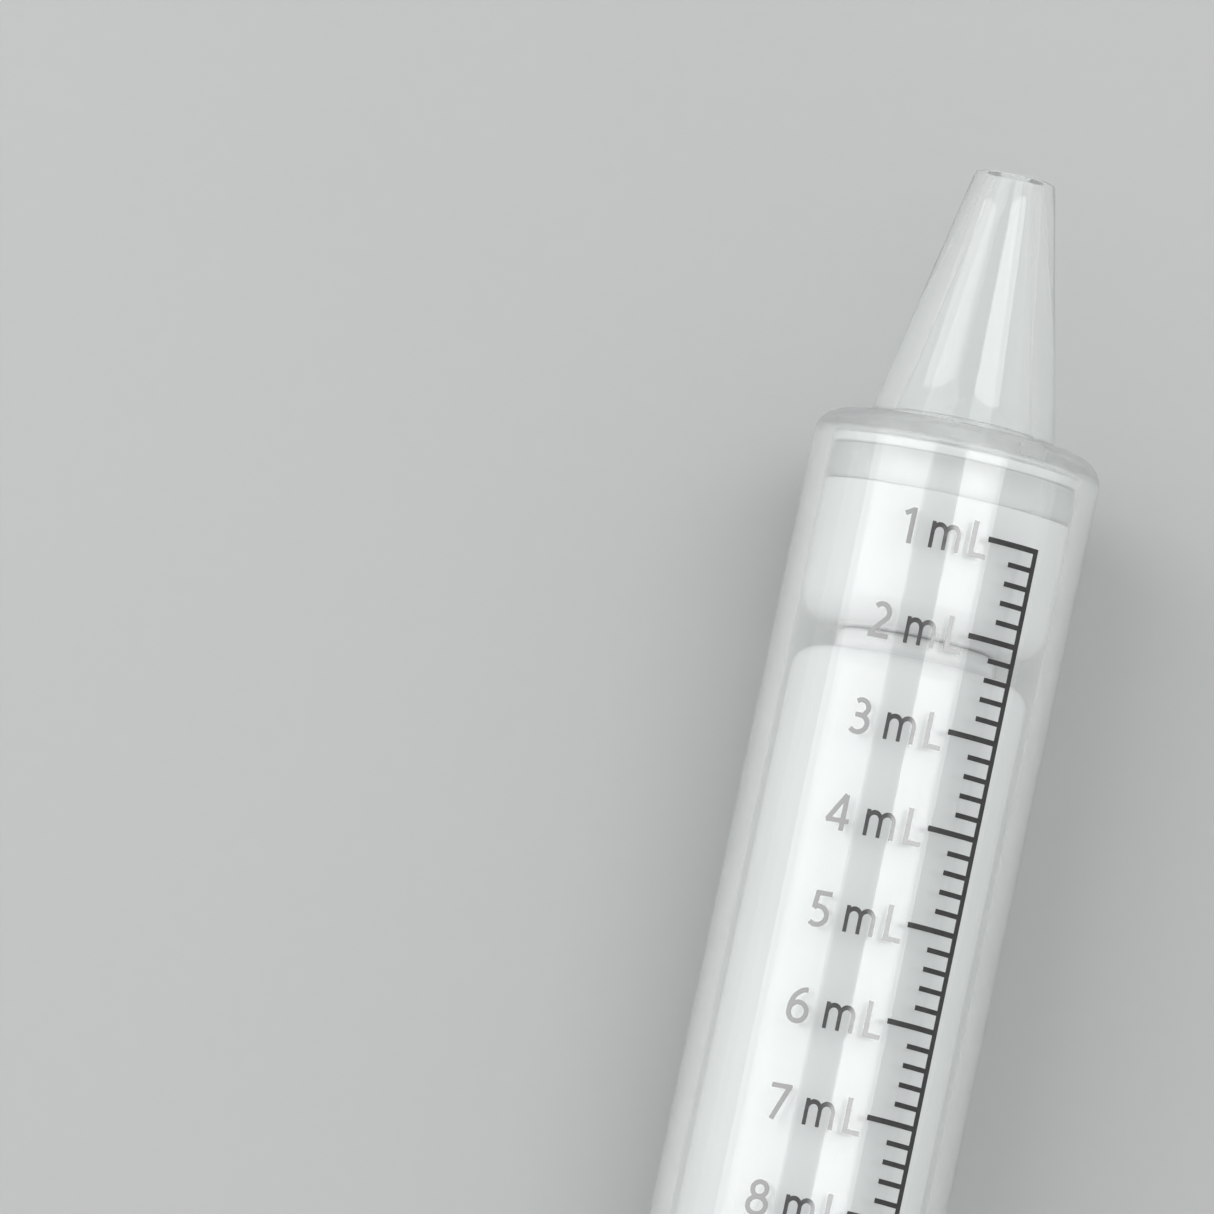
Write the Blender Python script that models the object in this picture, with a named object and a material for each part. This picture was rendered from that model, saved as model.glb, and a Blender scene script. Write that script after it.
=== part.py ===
"""Medicine dropper of the plunger type: a clear 10 mL barrel with a hollow
conical nozzle, a white piston head with a silicone seal ring, and a white
hollow plunger rod that snaps into the head.

The dropper lies on its side. Its axis runs along Y, the nozzle points to +Y,
the finger wings spread along X and rest their lower flats on z = 0. Every
turned profile below is written as (radius, station): the station is measured
along the axis from the inside face of the barrel's end wall, positive towards
the thumb end, so y = SHOULDER_Y - station. Profiles are in millimetres.
"""

import math

import bmesh
import bpy
from mathutils import Matrix, Vector

MM = 0.001

# ---- where the dropper lies ------------------------------------------------
AXIS_Z = 8.7  # height of the axis: half the width across the wing flats
SHOULDER_Y = 36.6  # y of the inside face of the end wall

# ---- barrel ----------------------------------------------------------------
BORE_R = 7.4  # 10 mL in 58.1 mm of stroke
BARREL_R = 8.6
END_WALL = 1.3
SHOULDER_ROUND = 1.6
BARREL_END = 77.0  # station of the barrel's open end
NOZZLE_END = -16.9  # station of the nozzle's mouth
NOZZLE_MOUTH_R = 2.4
NOZZLE_BASE_R = 5.6
NOZZLE_HOLE_MOUTH_R = 1.1
NOZZLE_HOLE_BASE_R = 4.4
BEAD_R = 7.15  # the ring inside the open end that keeps the piston in
BEAD_AT = 73.5
FLANGE_R = 14.0  # round tips of the finger wings
FLANGE_T = 2.0
FLANGE_FLAT = 8.7  # half width across the wing flats

# ---- piston head -----------------------------------------------------------
STOP_GAP = 0.3  # piston face to end wall with the plunger pushed home
HEAD_R = 7.32
GROOVE_R = 5.4
GROOVE_FROM, GROOVE_TO = 0.85, 3.05
HEAD_END = 11.4
HEAD_ROUND = 1.8
SOCKET_MOUTH_R = 3.1
SOCKET_R = 3.75
SOCKET_FROM, SOCKET_TO = 4.9, 8.0

# ---- seal ring -------------------------------------------------------------
RING_OUT_R = 7.34
RING_IN_R = 5.48
RING_GAP = 0.15  # to each wall of the groove

# ---- plunger rod -----------------------------------------------------------
ROD_R = 7.05
NECK_R = 4.7
NECK_FROM = HEAD_END + 0.3
ROD_FROM = 12.85
ROD_END = 90.1
THUMB_R = 8.3
THUMB_T = 2.1
ROD_HOLLOW_R = 5.0
ROD_HOLLOW_FROM_R = 4.6
ROD_HOLLOW_FROM = 16.4
STUD_R = 3.02
BARB_R = 3.67
BARB_FROM, BARB_TO = 5.3, 7.7

SEGMENTS_BARREL = 72
SEGMENTS = 64
RING_SECTION = 12


def clear_scene():
    for obj in list(bpy.data.objects):
        bpy.data.objects.remove(obj, do_unlink=True)


def plastic(name, colour, roughness, alpha=1.0, transmission=0.0):
    """A moulded plastic or silicone: never metallic."""
    mat = bpy.data.materials.new(name)
    mat.use_nodes = True
    shader = mat.node_tree.nodes["Principled BSDF"]
    shader.inputs["Base Color"].default_value = (*colour, 1.0)
    shader.inputs["Roughness"].default_value = roughness
    shader.inputs["Metallic"].default_value = 0.0
    shader.inputs["Alpha"].default_value = alpha
    shader.inputs["Transmission Weight"].default_value = transmission
    mat.diffuse_color = (*colour, alpha)
    return mat


def arc(centre_r, centre_s, radius, start, end, steps):
    """Points of an arc in the (radius, station) plane, angles in degrees:
    0 points away from the axis and 90 towards the thumb end."""
    return [
        (
            centre_r + radius * math.cos(math.radians(start + (end - start) * i / steps)),
            centre_s + radius * math.sin(math.radians(start + (end - start) * i / steps)),
        )
        for i in range(steps + 1)
    ]


def turned(name, profile, segments, material, closed_loop, parent):
    """Spins a profile about the object's own Y axis. A profile that starts and
    ends on the axis makes a solid; a closed loop makes a ring or a tube."""
    bm = bmesh.new()
    verts = [bm.verts.new((r * MM, -s * MM, 0.0)) for r, s in profile]
    edges = [bm.edges.new(pair) for pair in zip(verts, verts[1:])]
    if closed_loop:
        edges.append(bm.edges.new((verts[-1], verts[0])))
    bmesh.ops.spin(
        bm,
        geom=verts + edges,
        cent=(0.0, 0.0, 0.0),
        axis=(0.0, 1.0, 0.0),
        angle=2.0 * math.pi,
        steps=segments,
        use_merge=True,
        use_duplicate=False,
    )
    bmesh.ops.remove_doubles(bm, verts=bm.verts, dist=1e-6)
    bmesh.ops.recalc_face_normals(bm, faces=bm.faces)
    mesh = bpy.data.meshes.new(name)
    bm.to_mesh(mesh)
    bm.free()
    mesh.materials.append(material)
    mesh.shade_smooth()
    mesh.set_sharp_from_angle(angle=math.radians(28.0))
    obj = bpy.data.objects.new(name, mesh)
    bpy.context.scene.collection.objects.link(obj)
    obj.parent = parent
    return obj


def box_cutter(name, low, high, parent):
    """A closed box, in millimetres in the parent's space, kept out of renders."""
    bm = bmesh.new()
    bmesh.ops.create_cube(bm, size=1.0)
    size = Vector(high) - Vector(low)
    middle = (Vector(high) + Vector(low)) / 2
    bmesh.ops.transform(
        bm,
        matrix=Matrix.Translation(middle * MM) @ Matrix.Diagonal((*(size * MM), 1.0)),
        verts=bm.verts,
    )
    mesh = bpy.data.meshes.new(name)
    bm.to_mesh(mesh)
    bm.free()
    obj = bpy.data.objects.new(name, mesh)
    bpy.context.scene.collection.objects.link(obj)
    obj.parent = parent
    obj.hide_render = True
    obj.display_type = "WIRE"
    return obj


def empty(name, location, parent=None):
    obj = bpy.data.objects.new(name, None)
    obj.empty_display_size = 0.01
    bpy.context.scene.collection.objects.link(obj)
    obj.location = Vector(location) * MM
    obj.parent = parent
    return obj


def barrel_profile():
    """Out along the nozzle, round the shoulder, down the body to the wings,
    and back up the bore to the nozzle's mouth."""
    front = -END_WALL
    flange = BARREL_END - FLANGE_T
    edge = 0.4
    outside = [
        (NOZZLE_MOUTH_R - 0.25, NOZZLE_END),
        (NOZZLE_MOUTH_R, NOZZLE_END + 0.25),
        (NOZZLE_BASE_R, front - 0.5),
        (NOZZLE_BASE_R + 0.2, front - 0.15),
        (NOZZLE_BASE_R + 0.6, front),
        *arc(BARREL_R - SHOULDER_ROUND, front + SHOULDER_ROUND, SHOULDER_ROUND, -90, 0, 5),
        (BARREL_R, flange),
        (FLANGE_R - edge, flange),
        (FLANGE_R, flange + edge),
        (FLANGE_R, BARREL_END - edge),
        (FLANGE_R - edge, BARREL_END),
    ]
    inside = [
        (BORE_R + 0.4, BARREL_END),
        (BORE_R, BARREL_END - 0.8),
        (BORE_R, BEAD_AT + 0.7),
        (BEAD_R, BEAD_AT + 0.15),
        (BEAD_R, BEAD_AT - 0.15),
        (BORE_R, BEAD_AT - 0.7),
        (BORE_R, 0.25),
        (BORE_R - 0.25, 0.0),
        (NOZZLE_HOLE_BASE_R + 0.35, 0.0),
        (NOZZLE_HOLE_BASE_R, -0.35),
        (NOZZLE_HOLE_MOUTH_R, NOZZLE_END),
    ]
    return outside + inside


def head_profile():
    """Face, front land, ring groove, long rear land with a rounded back, and
    the snap socket that opens backwards."""
    return [
        (0.0, STOP_GAP),
        (HEAD_R - 0.15, STOP_GAP),
        (HEAD_R, STOP_GAP + 0.15),
        (HEAD_R, GROOVE_FROM),
        (GROOVE_R, GROOVE_FROM),
        (GROOVE_R, GROOVE_TO),
        (HEAD_R, GROOVE_TO),
        *arc(HEAD_R - HEAD_ROUND, HEAD_END - HEAD_ROUND, HEAD_ROUND, 0, 90, 5),
        (SOCKET_MOUTH_R + 0.3, HEAD_END),
        (SOCKET_MOUTH_R, HEAD_END - 0.3),
        (SOCKET_MOUTH_R, SOCKET_TO + 0.4),
        (SOCKET_R, SOCKET_TO),
        (SOCKET_R, SOCKET_FROM + 0.5),
        (SOCKET_R - 0.5, SOCKET_FROM),
        (0.0, SOCKET_FROM),
    ]


def ring_profile():
    """An O-ring's section, flattened where it meets the bore and the floor of
    its groove."""
    half_r = (RING_OUT_R - RING_IN_R) / 2
    half_s = (GROOVE_TO - GROOVE_FROM) / 2 - RING_GAP
    mid_r = (RING_OUT_R + RING_IN_R) / 2
    mid_s = (GROOVE_TO + GROOVE_FROM) / 2
    points = []
    for i in range(RING_SECTION):
        t = 2.0 * math.pi * (i + 0.5) / RING_SECTION
        c, s = math.cos(t), math.sin(t)
        points.append(
            (
                mid_r + half_r * math.copysign(abs(c) ** 0.6, c),
                mid_s + half_s * math.copysign(abs(s) ** 0.6, s),
            )
        )
    return points


def rod_profile():
    """Barbed stud, the thicker neck seen behind the head, rounded front
    shoulder, full-width body, thumb disc, and the long hollow that opens at
    the thumb end."""
    disc = ROD_END - THUMB_T
    edge = 0.45
    return [
        (0.0, BARB_FROM),
        (BARB_R - 0.9, BARB_FROM),
        (BARB_R, BARB_FROM + 1.1),
        (BARB_R, BARB_TO - 0.4),
        (STUD_R, BARB_TO),
        (STUD_R, NECK_FROM),
        (NECK_R, NECK_FROM),
        (NECK_R, ROD_FROM - 0.2),
        (NECK_R + 0.2, ROD_FROM),
        *arc(ROD_R - 1.2, ROD_FROM + 1.2, 1.2, -90, 0, 4),
        (ROD_R, disc - 0.5),
        (ROD_R + 0.5, disc),
        (THUMB_R - edge, disc),
        (THUMB_R, disc + edge),
        (THUMB_R, ROD_END - edge),
        (THUMB_R - edge, ROD_END),
        (ROD_HOLLOW_R + 0.4, ROD_END),
        (ROD_HOLLOW_R, ROD_END - 0.4),
        (ROD_HOLLOW_FROM_R, ROD_HOLLOW_FROM + 1.0),
        (ROD_HOLLOW_FROM_R - 1.0, ROD_HOLLOW_FROM),
        (0.0, ROD_HOLLOW_FROM),
    ]


def main():
    clear_scene()
    clear = plastic("clear_plastic", (0.92, 0.94, 0.93), 0.08, alpha=0.3)
    white = plastic("white_plastic", (0.86, 0.86, 0.87), 0.32)
    rod_white = plastic("rod_white_plastic", (0.85, 0.85, 0.86), 0.3)
    silicone = plastic("clear_silicone", (0.72, 0.74, 0.73), 0.4, alpha=0.75)

    base = empty("dropper_axis", (0.0, SHOULDER_Y, AXIS_Z))
    plunger = empty("plunger_axis", (0.0, 0.0, 0.0), base)

    barrel = turned("barrel", barrel_profile(), SEGMENTS_BARREL, clear, True, base)
    reach = FLANGE_R + 5.0
    for name, low, high in (
        ("flat_cutter_top", FLANGE_FLAT, reach),
        ("flat_cutter_bottom", -reach, -FLANGE_FLAT),
    ):
        cutter = box_cutter(
            name,
            (-reach, -(BARREL_END + 3.0), low),
            (reach, -(BARREL_END - FLANGE_T - 3.0), high),
            base,
        )
        cut = barrel.modifiers.new(name, "BOOLEAN")
        cut.operation = "DIFFERENCE"
        cut.object = cutter
        cut.solver = "EXACT"

    turned("piston_head", head_profile(), SEGMENTS, white, False, plunger)
    turned("seal_ring", ring_profile(), SEGMENTS, silicone, True, plunger)
    turned("plunger_rod", rod_profile(), SEGMENTS, rod_white, False, plunger)


main()
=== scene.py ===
"""Looks for the medicine dropper: clear barrel with its printed scale, white
piston head and rod, translucent seal ring, on a plain pale floor.

Profiles are (radius, station) in millimetres, the station measured along the
axis from the inside face of the barrel's end wall towards the thumb end."""

import math

import bmesh
import bpy
from mathutils import Matrix, Vector


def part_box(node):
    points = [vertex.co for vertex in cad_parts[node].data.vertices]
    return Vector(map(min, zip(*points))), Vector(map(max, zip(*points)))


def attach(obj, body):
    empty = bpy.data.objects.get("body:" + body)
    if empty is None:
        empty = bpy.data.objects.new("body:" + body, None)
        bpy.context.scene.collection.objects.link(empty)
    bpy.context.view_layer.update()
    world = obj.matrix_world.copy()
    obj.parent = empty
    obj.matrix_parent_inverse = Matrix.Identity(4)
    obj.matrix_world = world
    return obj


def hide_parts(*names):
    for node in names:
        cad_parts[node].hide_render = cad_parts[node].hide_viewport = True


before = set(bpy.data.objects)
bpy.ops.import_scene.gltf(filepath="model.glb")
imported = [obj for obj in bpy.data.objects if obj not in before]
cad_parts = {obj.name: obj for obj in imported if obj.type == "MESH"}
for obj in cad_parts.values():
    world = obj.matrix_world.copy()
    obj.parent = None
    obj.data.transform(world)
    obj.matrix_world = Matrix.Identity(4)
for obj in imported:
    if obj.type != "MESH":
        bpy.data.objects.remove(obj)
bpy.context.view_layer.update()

MM = 0.001

# ---- the frame's own places -------------------------------------------------
barrel_low, barrel_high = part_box("barrel")
head_low, head_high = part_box("piston_head")
rod_low, rod_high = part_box("plunger_rod")
ring_low, ring_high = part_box("seal_ring")
AXIS_Z = (rod_low[2] + rod_high[2]) / 2
TIP_Y = barrel_high[1]
SHOULDER_Y = TIP_Y - 16.9 * MM  # inside face of the end wall: station 0
BARREL_END = (SHOULDER_Y - barrel_low[1]) / MM
ROD_END = (SHOULDER_Y - rod_low[1]) / MM
HEAD_FACE = (SHOULDER_Y - head_high[1]) / MM
HEAD_END = (SHOULDER_Y - head_low[1]) / MM
FLANGE_R = (barrel_high[0] - barrel_low[0]) / 2 / MM
FLANGE_FLAT = (barrel_high[2] - barrel_low[2]) / 2 / MM
HEAD_R = (head_high[0] - head_low[0]) / 2 / MM
THUMB_R = (rod_high[0] - rod_low[0]) / 2 / MM
RING_R = (ring_high[0] - ring_low[0]) / 2 / MM

BORE_R = 7.4
BARREL_R = 8.6
END_WALL = 1.3
ROD_R = 7.05

# ---- the scale --------------------------------------------------------------
ML_PITCH = 5.813
ML_OFFSET = -0.54
MARKS = 10
SPINE_AT = 6.15  # arc length from the top line of the barrel, mm
LONG_FROM = 2.81
SHORT_FROM = 4.37
LINE = 0.33
INK_IN, INK_OUT = BARREL_R + 0.006, BARREL_R + 0.035


# ---------------------------------------------------------------------------
# mesh helpers
# ---------------------------------------------------------------------------
def fillet(points, radii, steps=5):
    """A polyline with each corner i rounded by radii[i], as an open profile."""
    out = []
    n = len(points)
    for i, (p, r) in enumerate(zip(points, radii)):
        if r <= 0 or i in (0, n - 1):
            out.append(tuple(p))
            continue
        a, b, c = Vector(points[i - 1]), Vector(p), Vector(points[i + 1])
        u, v = (a - b).normalized(), (c - b).normalized()
        half = math.acos(max(-1.0, min(1.0, u.dot(v)))) / 2
        if half > math.radians(89.0):
            out.append(tuple(p))
            continue
        back = r / math.tan(half)
        start, end = b + u * back, b + v * back
        centre = b + (u + v).normalized() * (r / math.sin(half))
        t0 = math.atan2(*(start - centre).yx)
        t1 = math.atan2(*(end - centre).yx)
        while t1 - t0 > math.pi:
            t1 -= 2 * math.pi
        while t0 - t1 > math.pi:
            t1 += 2 * math.pi
        out += [
            (
                centre.x + r * math.cos(t0 + (t1 - t0) * k / steps),
                centre.y + r * math.sin(t0 + (t1 - t0) * k / steps),
            )
            for k in range(steps + 1)
        ]
    return out


def densify(points, longest):
    """Splits long stretches, so that a bumpy material and smooth shading have
    evenly sized faces to work on."""
    out = [points[0]]
    for a, b in zip(points, points[1:]):
        n = max(1, math.ceil(math.dist(a, b) / longest))
        out += [
            (a[0] + (b[0] - a[0]) * k / n, a[1] + (b[1] - a[1]) * k / n)
            for k in range(1, n + 1)
        ]
    return out


def face_out(bm):
    """Turns the faces of every separate solid outwards."""
    bmesh.ops.recalc_face_normals(bm, faces=bm.faces)
    bm.faces.index_update()
    seen = set()
    for first in bm.faces:
        if first.index in seen:
            continue
        seen.add(first.index)
        solid, waiting = [], [first]
        while waiting:
            face = waiting.pop()
            solid.append(face)
            for edge in face.edges:
                for other in edge.link_faces:
                    if other.index not in seen:
                        seen.add(other.index)
                        waiting.append(other)
        origin = first.verts[0].co.copy()
        volume = 0.0
        for face in solid:
            points = [v.co - origin for v in face.verts]
            for b, c in zip(points[1:], points[2:]):
                volume += points[0].dot(b.cross(c))
        if volume < 0:
            bmesh.ops.reverse_faces(bm, faces=solid)


def finish_mesh(bm, name, angle=30.0):
    face_out(bm)
    mesh = bpy.data.meshes.new(name)
    bm.to_mesh(mesh)
    bm.free()
    mesh.shade_smooth()
    mesh.set_sharp_from_angle(angle=math.radians(angle))
    obj = bpy.data.objects.new(name, mesh)
    bpy.context.scene.collection.objects.link(obj)
    return obj


def place(radius, station, angle):
    """A point at this radius, station and angle round the axis from the top."""
    return Vector(
        (
            radius * MM * math.sin(angle),
            SHOULDER_Y - station * MM,
            AXIS_Z + radius * MM * math.cos(angle),
        )
    )


def lathe(name, profile, segments, outline=None, angle=30.0):
    """Turns a profile about the axis. A profile whose ends are off the axis is
    a closed loop. outline(radius, station, angle) may change a point's radius,
    for the wings."""
    bm = bmesh.new()
    loop = profile[0][0] > 1e-6
    rings = []
    for r, s in profile:
        if r < 1e-6:
            rings.append([bm.verts.new(place(0.0, s, 0.0))])
            continue
        ring = []
        for k in range(segments):
            t = 2 * math.pi * k / segments
            ring.append(bm.verts.new(place(outline(r, s, t) if outline else r, s, t)))
        rings.append(ring)
    pairs = list(zip(rings, rings[1:]))
    if loop:
        pairs.append((rings[-1], rings[0]))
    for a, b in pairs:
        for k in range(segments):
            j = (k + 1) % segments
            corners = [a[k % len(a)], a[j % len(a)], b[j % len(b)], b[k % len(b)]]
            face = list(dict.fromkeys(corners))
            if len(face) > 2:
                bm.faces.new(face)
    return finish_mesh(bm, name, angle)


# ---------------------------------------------------------------------------
# materials
# ---------------------------------------------------------------------------
class Nodes:
    """A short way to write a node tree."""

    def __init__(self, name):
        self.mat = bpy.data.materials.new(name)
        self.mat.use_nodes = True
        self.tree = self.mat.node_tree
        self.bsdf = self.tree.nodes["Principled BSDF"]
        self.out = self.tree.nodes["Material Output"]
        self.coords = self.tree.nodes.new("ShaderNodeTexCoord")

    def add(self, kind, **values):
        node = self.tree.nodes.new(kind)
        for key, value in values.items():
            if hasattr(node, key) and key not in node.inputs:
                setattr(node, key, value)
            else:
                node.inputs[key].default_value = value
        return node

    def link(self, a, b):
        self.tree.links.new(a, b)

    def noise(self, scale, stretch=(1, 1, 1), detail=3.0, rough=0.5, distortion=0.0):
        mapping = self.add("ShaderNodeMapping")
        mapping.inputs["Scale"].default_value = stretch
        self.link(self.coords.outputs["Object"], mapping.inputs["Vector"])
        node = self.add("ShaderNodeTexNoise")
        node.inputs["Scale"].default_value = scale
        node.inputs["Detail"].default_value = detail
        node.inputs["Roughness"].default_value = rough
        node.inputs["Distortion"].default_value = distortion
        self.link(mapping.outputs["Vector"], node.inputs["Vector"])
        return node.outputs["Fac"]

    def spread(self, source, low, high, from_low=0.3, from_high=0.7):
        node = self.add("ShaderNodeMapRange")
        node.inputs["From Min"].default_value = from_low
        node.inputs["From Max"].default_value = from_high
        node.inputs["To Min"].default_value = low
        node.inputs["To Max"].default_value = high
        self.link(source, node.inputs["Value"])
        return node.outputs["Result"]

    def colours(self, source, low, high):
        ramp = self.add("ShaderNodeValToRGB")
        ramp.color_ramp.elements[0].position = 0.3
        ramp.color_ramp.elements[0].color = (*low, 1)
        ramp.color_ramp.elements[1].position = 0.7
        ramp.color_ramp.elements[1].color = (*high, 1)
        self.link(source, ramp.inputs["Fac"])
        return ramp.outputs["Color"]

    def bump(self, source, strength, distance, below=None):
        node = self.add("ShaderNodeBump")
        node.inputs["Strength"].default_value = strength
        node.inputs["Distance"].default_value = distance
        self.link(source, node.inputs["Height"])
        if below is not None:
            self.link(below, node.inputs["Normal"])
        return node.outputs["Normal"]


def through_lamps(n, tint, rays=("Is Diffuse Ray", "Is Shadow Ray")):
    """Lets light from lamps and from white surfaces pass straight through a
    clear piece, as it nearly does through a real clear wall, so that the piece
    casts only a thin shadow."""
    path = n.add("ShaderNodeLightPath")
    surface = n.bsdf.outputs["BSDF"]
    for ray in rays:
        through = n.add("ShaderNodeBsdfTransparent")
        through.inputs["Color"].default_value = (*tint, 1.0)
        mix = n.add("ShaderNodeMixShader")
        n.link(path.outputs[ray], mix.inputs["Fac"])
        n.link(surface, mix.inputs[1])
        n.link(through.outputs["BSDF"], mix.inputs[2])
        surface = mix.outputs["Shader"]
    n.link(surface, n.out.inputs["Surface"])


def clear_plastic():
    """Polished clear polypropylene: faint flow lines along the moulding, a few
    softer patches, and a slight cool haze. Lamps pass through it, as they do
    through a real clear wall, so it casts only a thin shadow."""
    n = Nodes("clear_plastic")
    flow = n.noise(900.0, (1.0, 0.05, 1.0), 2.0)
    cloud = n.noise(120.0, (1.0, 0.4, 1.0), 3.0)
    fine = n.noise(5200.0, (1.0, 0.35, 1.0), 2.0)
    n.link(n.colours(cloud, (0.955, 0.972, 0.962), (0.985, 0.993, 0.988)), n.bsdf.inputs["Base Color"])
    # the thick end wall sets slowly, so it comes out hazier than the thin walls
    where = n.add("ShaderNodeSeparateXYZ")
    n.link(n.coords.outputs["Object"], where.inputs["Vector"])
    along = where.outputs["Y"]
    rise = n.spread(along, 0.0, 0.22, (SHOULDER_Y / MM - 0.9) * MM, (SHOULDER_Y / MM + 0.1) * MM)
    fall = n.spread(along, 1.0, 0.0, (SHOULDER_Y / MM + 1.1) * MM, (SHOULDER_Y / MM + 1.7) * MM)
    haze = n.add("ShaderNodeMath", operation="MULTIPLY_ADD")
    n.link(rise, haze.inputs[0])
    n.link(fall, haze.inputs[1])
    n.link(n.spread(cloud, 0.03, 0.075), haze.inputs[2])
    n.link(haze.outputs["Value"], n.bsdf.inputs["Roughness"])
    n.bsdf.inputs["Transmission Weight"].default_value = 0.90
    n.bsdf.inputs["IOR"].default_value = 1.49
    waves = n.bump(flow, 0.10, 0.00004)
    n.link(n.bump(fine, 0.05, 0.000008, waves), n.bsdf.inputs["Normal"])
    through_lamps(n, (0.95, 0.965, 0.958))
    return n.mat


def white_plastic(name, low, high, rough_low, rough_high):
    """Injection-moulded white polyethylene: satin gloss, a very fine mould
    grain and slight drifts in tone where the melt met."""
    n = Nodes(name)
    drift = n.noise(160.0, (1.0, 0.35, 1.0), 3.0, 0.55, 0.4)
    grain = n.noise(6500.0, (1.0, 1.0, 1.0), 2.0)
    swirl = n.noise(700.0, (1.0, 0.12, 1.0), 2.0)
    n.link(n.colours(drift, low, high), n.bsdf.inputs["Base Color"])
    n.link(n.spread(drift, rough_low, rough_high), n.bsdf.inputs["Roughness"])
    n.bsdf.inputs["IOR"].default_value = 1.52
    n.bsdf.inputs["Subsurface Weight"].default_value = 0.12
    n.bsdf.inputs["Subsurface Radius"].default_value = (0.0012, 0.0011, 0.0010)
    n.bsdf.inputs["Subsurface Scale"].default_value = 1.0
    ripple = n.bump(swirl, 0.12, 0.00002)
    n.link(n.bump(grain, 0.10, 0.000006, ripple), n.bsdf.inputs["Normal"])
    return n.mat


def silicone():
    """Clear silicone, a little milky, with a soft shine."""
    n = Nodes("clear_silicone")
    cloud = n.noise(300.0, (1, 1, 1), 3.0)
    n.link(n.colours(cloud, (0.93, 0.932, 0.93), (0.97, 0.972, 0.97)), n.bsdf.inputs["Base Color"])
    n.link(n.spread(cloud, 0.16, 0.26), n.bsdf.inputs["Roughness"])
    n.bsdf.inputs["Transmission Weight"].default_value = 0.82
    n.bsdf.inputs["IOR"].default_value = 1.41
    n.link(n.bump(n.noise(4000.0), 0.08, 0.00001), n.bsdf.inputs["Normal"])
    through_lamps(n, (0.97, 0.972, 0.97))
    return n.mat


def ink(name, ior, rough_low, rough_high):
    """Printed dark grey ink with a slightly uneven cover. The figures are laid
    on thick and glossy, so that a light washes them out as it does the bare
    barrel; the thin lines are duller."""
    n = Nodes(name)
    cover = n.noise(2600.0, (1, 1, 1), 4.0, 0.6)
    n.link(n.colours(cover, (0.012, 0.012, 0.012), (0.032, 0.031, 0.030)), n.bsdf.inputs["Base Color"])
    n.link(n.spread(cover, rough_low, rough_high), n.bsdf.inputs["Roughness"])
    n.bsdf.inputs["IOR"].default_value = ior
    n.link(n.bump(n.noise(9000.0), 0.1, 0.000004), n.bsdf.inputs["Normal"])
    return n.mat


def floor_material():
    n = Nodes("pale_floor")
    cloud = n.noise(7.0, (1, 1, 1), 3.0)
    grain = n.noise(900.0, (1, 1, 1), 3.0)
    n.link(n.colours(cloud, (0.49, 0.497, 0.49), (0.52, 0.527, 0.52)), n.bsdf.inputs["Base Color"])
    n.link(n.spread(grain, 0.62, 0.72), n.bsdf.inputs["Roughness"])
    n.link(n.bump(grain, 0.04, 0.00002), n.bsdf.inputs["Normal"])
    return n.mat


# ---------------------------------------------------------------------------
# barrel
# ---------------------------------------------------------------------------
def wing_outline(r, s, t):
    """Turns the flange's round edge into two wings: tips of radius FLANGE_R
    along X, cut by flats above and below. Rounded edges follow the cut."""
    if r <= BARREL_R or s < BARREL_END - 2.4:
        return r
    c = abs(math.cos(t))
    if r <= BARREL_R + 0.4:  # the fillet at the wings' root
        return min(r, (FLANGE_FLAT - 0.01) / c) if c > 1e-6 else r
    inset = FLANGE_R - r  # how far this ring of the profile is from the edge
    # the cut, with the same rounded edge, and the wing's corner eased
    flat = FLANGE_FLAT - min(inset, 0.06)
    cut = flat / c if c > 1e-6 else 1e9
    k = 18.0
    eased = (r ** -k + cut ** -k) ** (-1.0 / k)
    return eased


def make_barrel(mat):
    front = -END_WALL
    flange = BARREL_END - 2.0
    outside = fillet(
        [
            (1.4, -16.9),
            (2.4, -16.9),
            (5.6, front - 0.02),
            (BARREL_R, front),
            (BARREL_R, flange),
            (FLANGE_R, flange),
            (FLANGE_R, BARREL_END),
            (BORE_R + 0.5, BARREL_END),
            (BORE_R, BARREL_END - 0.9),
            (BORE_R, 74.3),
            (7.15, 73.5),
            (BORE_R, 72.7),
            (BORE_R, 0.0),
            (4.45, 0.0),
            (1.1, -16.5),
            (1.4, -16.9),
        ],
        [0, 0.28, 0.75, 1.6, 0.35, 0.55, 0.55, 0.15, 0.3, 0.6, 0.5, 0.6, 0.3, 0.35, 0.15, 0],
    )[:-1]
    profile = densify(outside + [outside[0]], 2.5)[:-1]
    obj = lathe("barrel_shell", profile, 192, wing_outline)
    obj.data.materials.append(mat)
    return obj


# ---------------------------------------------------------------------------
# piston head, ring and rod
# ---------------------------------------------------------------------------
def make_head(mat):
    profile = fillet(
        [
            (0.0, HEAD_FACE),
            (HEAD_R, HEAD_FACE),
            (HEAD_R, 0.85),
            (5.4, 0.85),
            (5.4, 3.05),
            (HEAD_R, 3.05),
            (HEAD_R, HEAD_END),
            (3.3, HEAD_END),
            (3.1, HEAD_END - 0.3),
            (3.1, 8.4),
            (3.75, 8.0),
            (3.75, 5.4),
            (3.25, 4.9),
            (0.0, 4.9),
        ],
        [0, 0.15, 0.1, 0.12, 0.12, 0.12, 1.8, 0.1, 0.1, 0.1, 0.1, 0.1, 0.1, 0],
        steps=6,
    )
    obj = lathe("piston", densify(profile, 1.6), 160)
    obj.data.materials.append(mat)
    return obj


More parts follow.
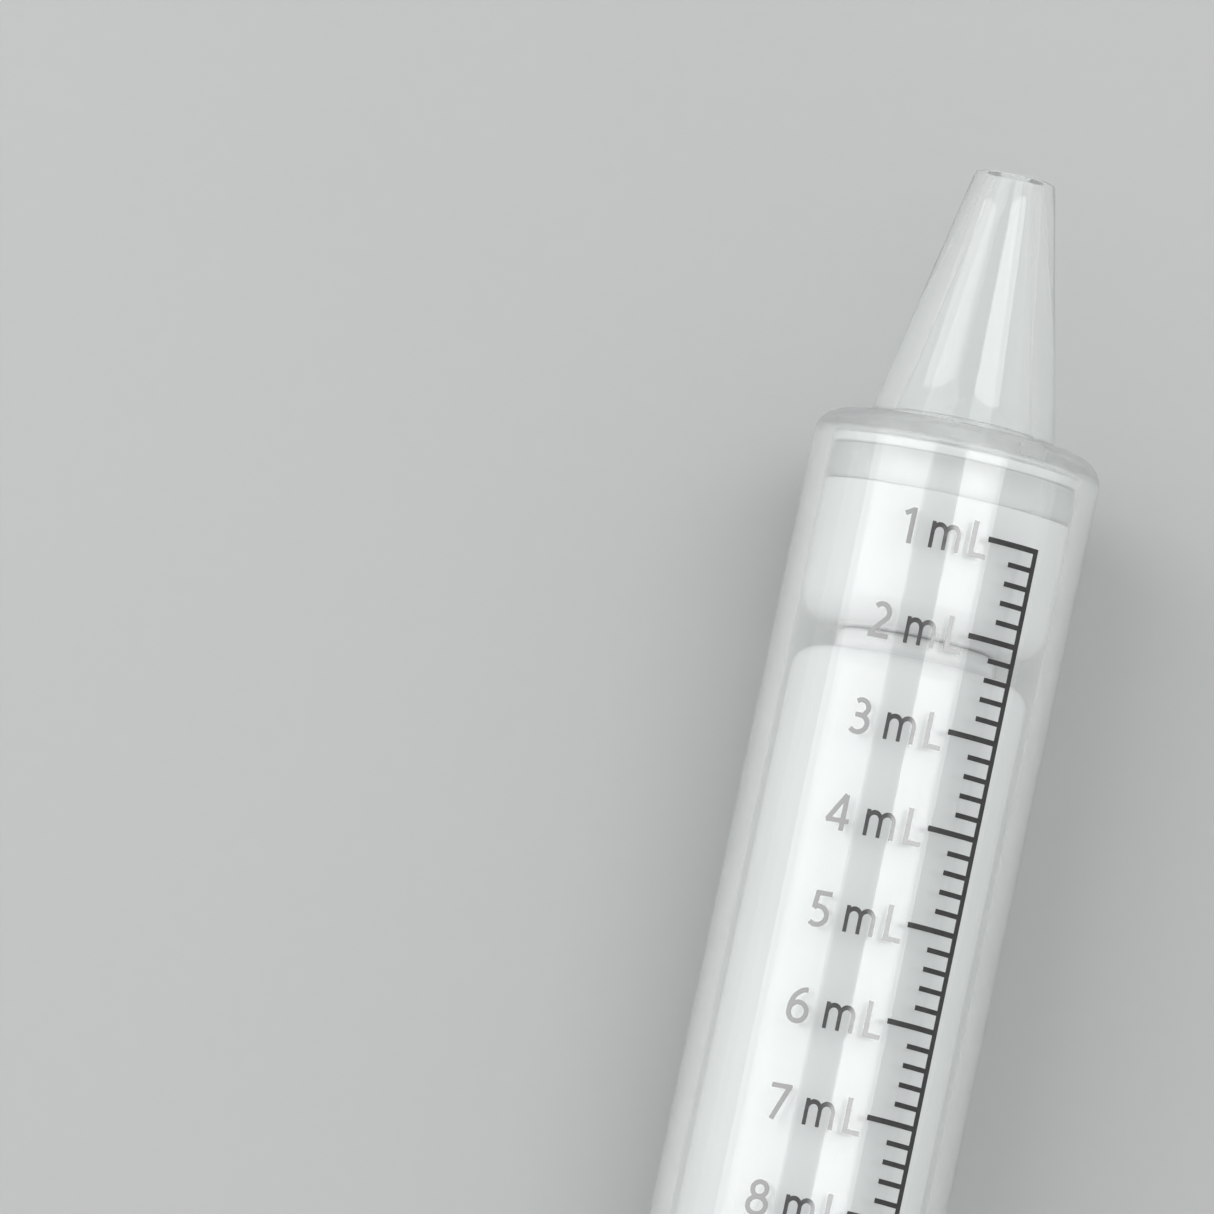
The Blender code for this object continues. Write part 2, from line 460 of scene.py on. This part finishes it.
def make_ring(mat):
    """The silicone ring, a little flattened where the bore squeezes it."""
    inner = 5.48
    half_r, mid_r = (RING_R - inner) / 2, (RING_R + inner) / 2
    half_s, mid_s = 1.085, 1.95
    profile = []
    steps = 28
    for i in range(steps):
        t = 2 * math.pi * (i + 0.5) / steps
        c, s = math.cos(t), math.sin(t)
        profile.append(
            (
                mid_r + half_r * math.copysign(abs(c) ** 0.32, c),
                mid_s + half_s * math.copysign(abs(s) ** 0.32, s),
            )
        )
    obj = lathe("silicone_ring", profile, 160, angle=80.0)
    obj.data.materials.append(mat)
    return obj


def make_rod(mat):
    disc = ROD_END - 2.1
    profile = fillet(
        [
            (0.0, 5.3),
            (2.8, 5.3),
            (3.67, 6.4),
            (3.67, 7.3),
            (3.02, 7.7),
            (3.02, 11.47),
            (4.75, 11.47),
            (4.75, 12.8),
            (ROD_R, 12.8),
            (ROD_R, disc),
            (THUMB_R, disc),
            (THUMB_R, ROD_END),
            (5.05, ROD_END),
            (4.6, 16.4),
            (0.0, 16.4),
        ],
        [0, 0.25, 0.2, 0.15, 0.1, 0.1, 0.25, 0.6, 1.5, 0.5, 0.65, 0.65, 0.4, 1.2, 0],
        steps=6,
    )
    obj = lathe("plunger", densify(profile, 2.5), 160)
    obj.data.materials.append(mat)
    return obj


# ---------------------------------------------------------------------------
# printed scale
# ---------------------------------------------------------------------------
def wrap(bm):
    """Rolls flat print onto the barrel: x is the arc from the top line, y the
    station and z the height over the ink's underside."""
    for v in bm.verts:
        x, y, z = v.co
        v.co = place(INK_IN + z, y, x / BARREL_R)


def print_bar(bm, x0, x1, y0, y1):
    """A flat bar of ink, cut often enough across to follow the barrel."""
    n = max(1, math.ceil((x1 - x0) / 0.2))
    high = INK_OUT - INK_IN
    rows = []
    for k in range(n + 1):
        x = x0 + (x1 - x0) * k / n
        rows.append([bm.verts.new(p) for p in ((x, y0, 0), (x, y1, 0), (x, y1, high), (x, y0, high))])
    for a, b in zip(rows, rows[1:]):
        for i in range(4):
            j = (i + 1) % 4
            bm.faces.new((a[i], a[j], b[j], b[i]))
    bm.faces.new(rows[0])
    bm.faces.new(rows[-1][::-1])


def round_path(cx, cy, rx, ry, start, end, steps=14):
    """Points along an ellipse, in degrees: 0 to the right and 90 up."""
    return [
        (
            cx + rx * math.cos(math.radians(start + (end - start) * i / steps)),
            cy + ry * math.sin(math.radians(start + (end - start) * i / steps)),
        )
        for i in range(steps + 1)
    ]


def ribbon(path, half, loop=False):
    """The two sides of a pen stroke along a path, with mitred corners."""
    left, right = [], []
    n = len(path)
    for i, p in enumerate(path):
        a = path[(i - 1) % n] if loop or i > 0 else None
        c = path[(i + 1) % n] if loop or i < n - 1 else None
        p = Vector(p)
        u = (p - Vector(a)).normalized() if a is not None else None
        v = (Vector(c) - p).normalized() if c is not None else None
        u, v = u or v, v or u
        side = Vector((-u.y, u.x)) + Vector((-v.y, v.x))
        side.normalize()
        reach = half / max(0.35, side.dot(Vector((-v.y, v.x))))
        left.append(p + side * reach)
        right.append(p - side * reach)
    return left, right


def slab(name, outline_pairs, loop):
    """A thin closed solid between two matching sides, one unit high."""
    bm = bmesh.new()
    rows = []
    for a, b in zip(*outline_pairs):
        rows.append([bm.verts.new((q[0], q[1], h)) for q, h in ((a, 0), (b, 0), (b, 1), (a, 1))])
    pairs = list(zip(rows, rows[1:]))
    if loop:
        pairs.append((rows[-1], rows[0]))
    for a, b in pairs:
        for i in range(4):
            j = (i + 1) % 4
            bm.faces.new((a[i], a[j], b[j], b[i]))
    if not loop:
        bm.faces.new(rows[0])
        bm.faces.new(rows[-1][::-1])
    bmesh.ops.recalc_face_normals(bm, faces=bm.faces)
    mesh = bpy.data.meshes.new(name)
    bm.to_mesh(mesh)
    bm.free()
    obj = bpy.data.objects.new(name, mesh)
    bpy.context.scene.collection.objects.link(obj)
    return obj


PEN = 0.067  # half a stroke's width, in heights of a capital


def figure_strokes(char):
    """The pen strokes of one figure, a capital one unit high: (path, loop)."""
    h = PEN
    top, low = 1.0 - h, h
    straight = {
        "1": [[(0.365, 0.0), (0.365, 1.0)], [(0.13, 0.815), (0.385, 0.957)]],
        "4": [[(0.475, 0.0), (0.475, 1.0)], [(0.0, 0.275), (0.655, 0.275)], [(0.475, 1.01), (0.03, 0.262)]],
        "7": [[(0.04, top), (0.62, top)], [(0.575, 0.975), (0.20, 0.0)]],
        "L": [[(h, 0.0), (h, 1.0)], [(0.0, low), (0.49, low)]],
    }
    if char in straight:
        return [(path, False) for path in straight[char]]
    if char == "0":
        return [(round_path(0.33, 0.5, 0.262, 0.448, 0, 352.5, 47), True)]
    if char == "2":
        bend = round_path(0.305, 0.70, 0.222, 0.245, 140, -32)
        return [(bend + [(0.30, 0.36), (0.075, 0.095)], False), ([(0.03, low), (0.61, low)], False)]
    if char == "3":
        return [
            (round_path(0.27, 0.735, 0.212, 0.213, 130, -95), False),
            ([(0.15, 0.53), (0.29, 0.53)], False),
            (round_path(0.265, 0.295, 0.258, 0.24, 88, -138), False),
        ]
    if char == "5":
        return [
            ([(0.115, top), (0.56, top)], False),
            ([(0.165, 0.985), (0.125, 0.50)], False),
            (round_path(0.255, 0.31, 0.262, 0.258, 122, -135), False),
        ]
    if char == "8":
        return [
            (round_path(0.325, 0.742, 0.205, 0.203, 0, 350, 35), True),
            (round_path(0.325, 0.29, 0.258, 0.238, 0, 350, 35), True),
        ]
    if char in "69":
        bowl = round_path(0.335, 0.315, 0.252, 0.262, 0, 350, 35)
        tail = [(0.083, 0.33), (0.086, 0.44), (0.105, 0.56), (0.15, 0.69), (0.225, 0.80), (0.33, 0.89), (0.42, 0.93), (0.525, 0.945)]
        if char == "9":
            bowl = [(0.66 - x, 1.0 - y) for x, y in bowl]
            tail = [(0.66 - x, 1.0 - y) for x, y in tail]
        return [(bowl, True), (tail, False)]
    # a small m: two arches on three stems
    x_high = 0.745
    arch = 0.2275
    strokes = [([(h, 0.0), (h, x_high)], False)]
    for k in (0, 1):
        cx = h + arch * (2 * k + 1)
        strokes.append((round_path(cx, x_high - h - 0.22, arch, 0.22, 168, 0) + [(cx + arch, 0.0)], False))
    return strokes


FIGURES = {}


def figure(char):
    """One clean solid for a figure: its strokes joined by Booleans."""
    if char not in FIGURES:
        solids = [
            slab("stroke", ribbon(path, PEN * (1.0 + 0.004 * i), loop), loop)
            for i, (path, loop) in enumerate(figure_strokes(char))
        ]
        for other in solids[1:]:
            join = solids[0].modifiers.new("join", "BOOLEAN")
            join.operation = "UNION"
            join.object = other
            join.solver = "EXACT"
        FIGURES[char] = bpy.data.meshes.new_from_object(
            solids[0].evaluated_get(bpy.context.evaluated_depsgraph_get())
        )
        for obj in solids:
            bpy.data.objects.remove(obj, do_unlink=True)
    return FIGURES[char]


def glyph(char, size, x, y, widen):
    """A figure in the print's flat space, its left edge at x and its baseline
    at station y. Stations grow downwards."""
    bm = bmesh.new()
    bm.from_mesh(figure(char))
    left = min(v.co.x for v in bm.verts)
    for v in bm.verts:
        v.co = ((v.co.x - left) * size * widen + x, y - v.co.y * size, v.co.z * (INK_OUT - INK_IN))
    right = max(v.co.x for v in bm.verts)
    cut = x + 0.25
    while cut < right:
        bmesh.ops.bisect_plane(
            bm,
            geom=bm.verts[:] + bm.edges[:] + bm.faces[:],
            dist=1e-6,
            plane_co=(cut, 0, 0),
            plane_no=(1, 0, 0),
        )
        cut += 0.25
    return bm


def station(ml):
    return ML_PITCH * ml + ML_OFFSET


def make_lines(mat):
    """The spine and its long and short marks: one printed comb."""
    half = LINE / 2
    comb = bmesh.new()
    print_bar(comb, SPINE_AT - half, SPINE_AT + half, station(1) - half, station(MARKS) + half)
    for i in range(5 * (MARKS - 1) + 1):
        at = station(1 + i / 5)
        start = LONG_FROM if i % 5 == 0 else SHORT_FROM
        thick = half if i % 5 == 0 else half * 0.92
        print_bar(comb, start, SPINE_AT - half - 0.004, at - thick, at + thick)
    wrap(comb)
    obj = finish_mesh(comb, "scale_lines", 40.0)
    obj.data.materials.append(mat)
    return obj


def make_figures(mat):
    """The numbers, each with its unit."""
    whole = bmesh.new()

    def take(bm):
        part = bpy.data.meshes.new("part")
        bm.to_mesh(part)
        bm.free()
        whole.from_mesh(part)
        bpy.data.meshes.remove(part)

    cap = 2.15  # height of a capital, mm
    for ml in range(1, MARKS + 1):
        y = station(ml) + cap / 2 + 0.17
        shift = 0.28 if ml == 1 else 0.0
        right = -1.88 + 0.7 * shift  # where the last figure of the number ends
        for char in reversed(str(ml)):
            bm = glyph(char, cap, 0.0, y, 1.0)
            wide = max(v.co.x for v in bm.verts)
            for v in bm.verts:
                v.co.x += right - wide
            take(bm)
            right -= wide + 0.28
        take(glyph("m", cap, -0.94 + shift, y, 0.80))
        take(glyph("L", cap, 1.48 + shift, y, 1.0))
    wrap(whole)
    obj = finish_mesh(whole, "scale_figures", 40.0)
    obj.data.materials.append(mat)
    return obj


# ---------------------------------------------------------------------------
# build and bind
# ---------------------------------------------------------------------------
clear = clear_plastic()
white = white_plastic("white_plastic", (0.70, 0.70, 0.705), (0.745, 0.745, 0.75), 0.10, 0.17)
rod_white = white_plastic("rod_white_plastic", (0.69, 0.69, 0.695), (0.735, 0.735, 0.74), 0.09, 0.16)

barrel = make_barrel(clear)
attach(barrel, "barrel")
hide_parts("barrel")

for printed in (
    make_lines(ink("line_ink", 1.5, 0.36, 0.5)),
    make_figures(ink("figure_ink", 2.5, 0.12, 0.22)),
):
    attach(printed, "barrel")

head = make_head(white)
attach(head, "piston")
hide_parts("piston_head")

ring = make_ring(silicone())
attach(ring, "piston")
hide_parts("seal_ring")

rod = make_rod(rod_white)
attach(rod, "rod")
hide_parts("plunger_rod")


# ---------------------------------------------------------------------------
# floor, light, camera
# ---------------------------------------------------------------------------
def make_floor():
    bm = bmesh.new()
    bmesh.ops.create_grid(bm, x_segments=8, y_segments=8, size=3.0)
    floor = finish_mesh(bm, "floor")
    floor.location = (0.0, 0.0, -0.00002)
    floor.data.materials.append(floor_material())


TARGET = Vector((0.0, 0.01, AXIS_Z))


def softbox(name, x_angles, y_angles, distance, radiance, shine=True, colour=(1, 1, 1)):
    """A rectangular soft light that fills these angles, in degrees, as seen
    from the dropper: x across it and y along it, both from straight up. A
    light either makes the highlights (shine) or lights the surfaces."""
    ax = math.radians(sum(x_angles) / 2)
    ay = math.radians(sum(y_angles) / 2)
    out = Vector((math.sin(ax), math.cos(ax) * math.sin(ay), math.cos(ax) * math.cos(ay)))
    across = Vector((0, 1, 0)).cross(out).normalized()
    along = out.cross(across)
    width = 2 * distance * math.tan(math.radians(x_angles[1] - x_angles[0]) / 2)
    length = 2 * distance * math.tan(math.radians(y_angles[1] - y_angles[0]) / 2)
    data = bpy.data.lights.new(name, "AREA")
    data.shape = "RECTANGLE"
    data.size, data.size_y = width, length
    data.energy = radiance * math.pi * width * length
    data.color = colour
    light = bpy.data.objects.new(name, data)
    bpy.context.scene.collection.objects.link(light)
    m = Matrix((across, along, out)).transposed().to_4x4()
    m.translation = TARGET + out * distance
    light.matrix_world = m
    light.visible_camera = False
    if shine:
        light.visible_diffuse = False
    else:
        light.visible_glossy = False
        light.visible_transmission = False
    return light


def make_world():
    world = bpy.data.worlds.new("studio")
    bpy.context.scene.world = world
    world.use_nodes = True
    tree = world.node_tree
    back = tree.nodes["Background"]
    back.inputs["Strength"].default_value = 1.0
    # the studio's walls are brighter low down than its ceiling
    coords = tree.nodes.new("ShaderNodeTexCoord")
    split = tree.nodes.new("ShaderNodeSeparateXYZ")
    ramp = tree.nodes.new("ShaderNodeValToRGB")
    tree.links.new(coords.outputs["Generated"], split.inputs["Vector"])
    tree.links.new(split.outputs["Z"], ramp.inputs["Fac"])
    tree.links.new(ramp.outputs["Color"], back.inputs["Color"])
    stops = ramp.color_ramp.elements
    stops[0].position, stops[0].color = 0.0, (1.10, 1.11, 1.12, 1.0)
    stops[1].position, stops[1].color = 0.85, (0.42, 0.424, 0.43, 1.0)
    middle = stops.new(0.35)
    middle.color = (0.88, 0.886, 0.895, 1.0)


def make_camera():
    """Looks down at the barrel from 6 degrees on the thumb side of vertical,
    turned so that the dropper leans 11.9 degrees to the right."""
    mm_per_px = 0.05896
    side = 1214 * mm_per_px * MM
    lean, tilt = math.radians(11.9), math.radians(6.0)
    distance = 3.0
    back = Vector((0, -math.sin(tilt), math.cos(tilt)))
    along = Vector((0, math.cos(tilt), math.sin(tilt)))
    right = Vector((1, 0, 0)) * math.cos(lean) + along * math.sin(lean)
    up = back.cross(right)
    axis_point = Vector((0.0, SHOULDER_Y, AXIS_Z))
    # the picture's middle, from the point where the end wall meets the axis
    dx, dy = (607.0 - 957.0) * mm_per_px * MM, (456.8 - 607.0) * mm_per_px * MM
    middle = axis_point + right * dx + up * dy
    data = bpy.data.cameras.new("camera")
    data.sensor_width = 36.0
    data.lens = 36.0 * distance / side
    data.clip_start, data.clip_end = 0.01, 20.0
    camera = bpy.data.objects.new("camera", data)
    bpy.context.scene.collection.objects.link(camera)
    m = Matrix((right, up, back)).transposed().to_4x4()
    m.translation = middle + back * distance
    camera.matrix_world = m
    bpy.context.scene.camera = camera


make_floor()
make_world()
softbox("key_shine", (6.3, 39.0), (-1.0, 36.0), 1.1, 2.9)
softbox("soft_shine", (-67.4, -18.9), (-1.0, 36.0), 1.1, 2.0)
softbox("key_fill", (5.1, 39.8), (-1.0, 36.0), 1.1, 2.0, shine=False)
softbox("soft_fill", (-67.0, -20.0), (-1.0, 36.0), 1.1, 1.8, shine=False)
softbox("right_fill", (45.0, 85.0), (-10.0, 40.0), 1.1, 0.2, shine=False)
softbox("left_fill", (-86.0, -60.0), (-10.0, 40.0), 1.1, 0.5, shine=False)
make_camera()

view = bpy.context.scene.view_settings
view.view_transform = "Standard"
view.look = "None"
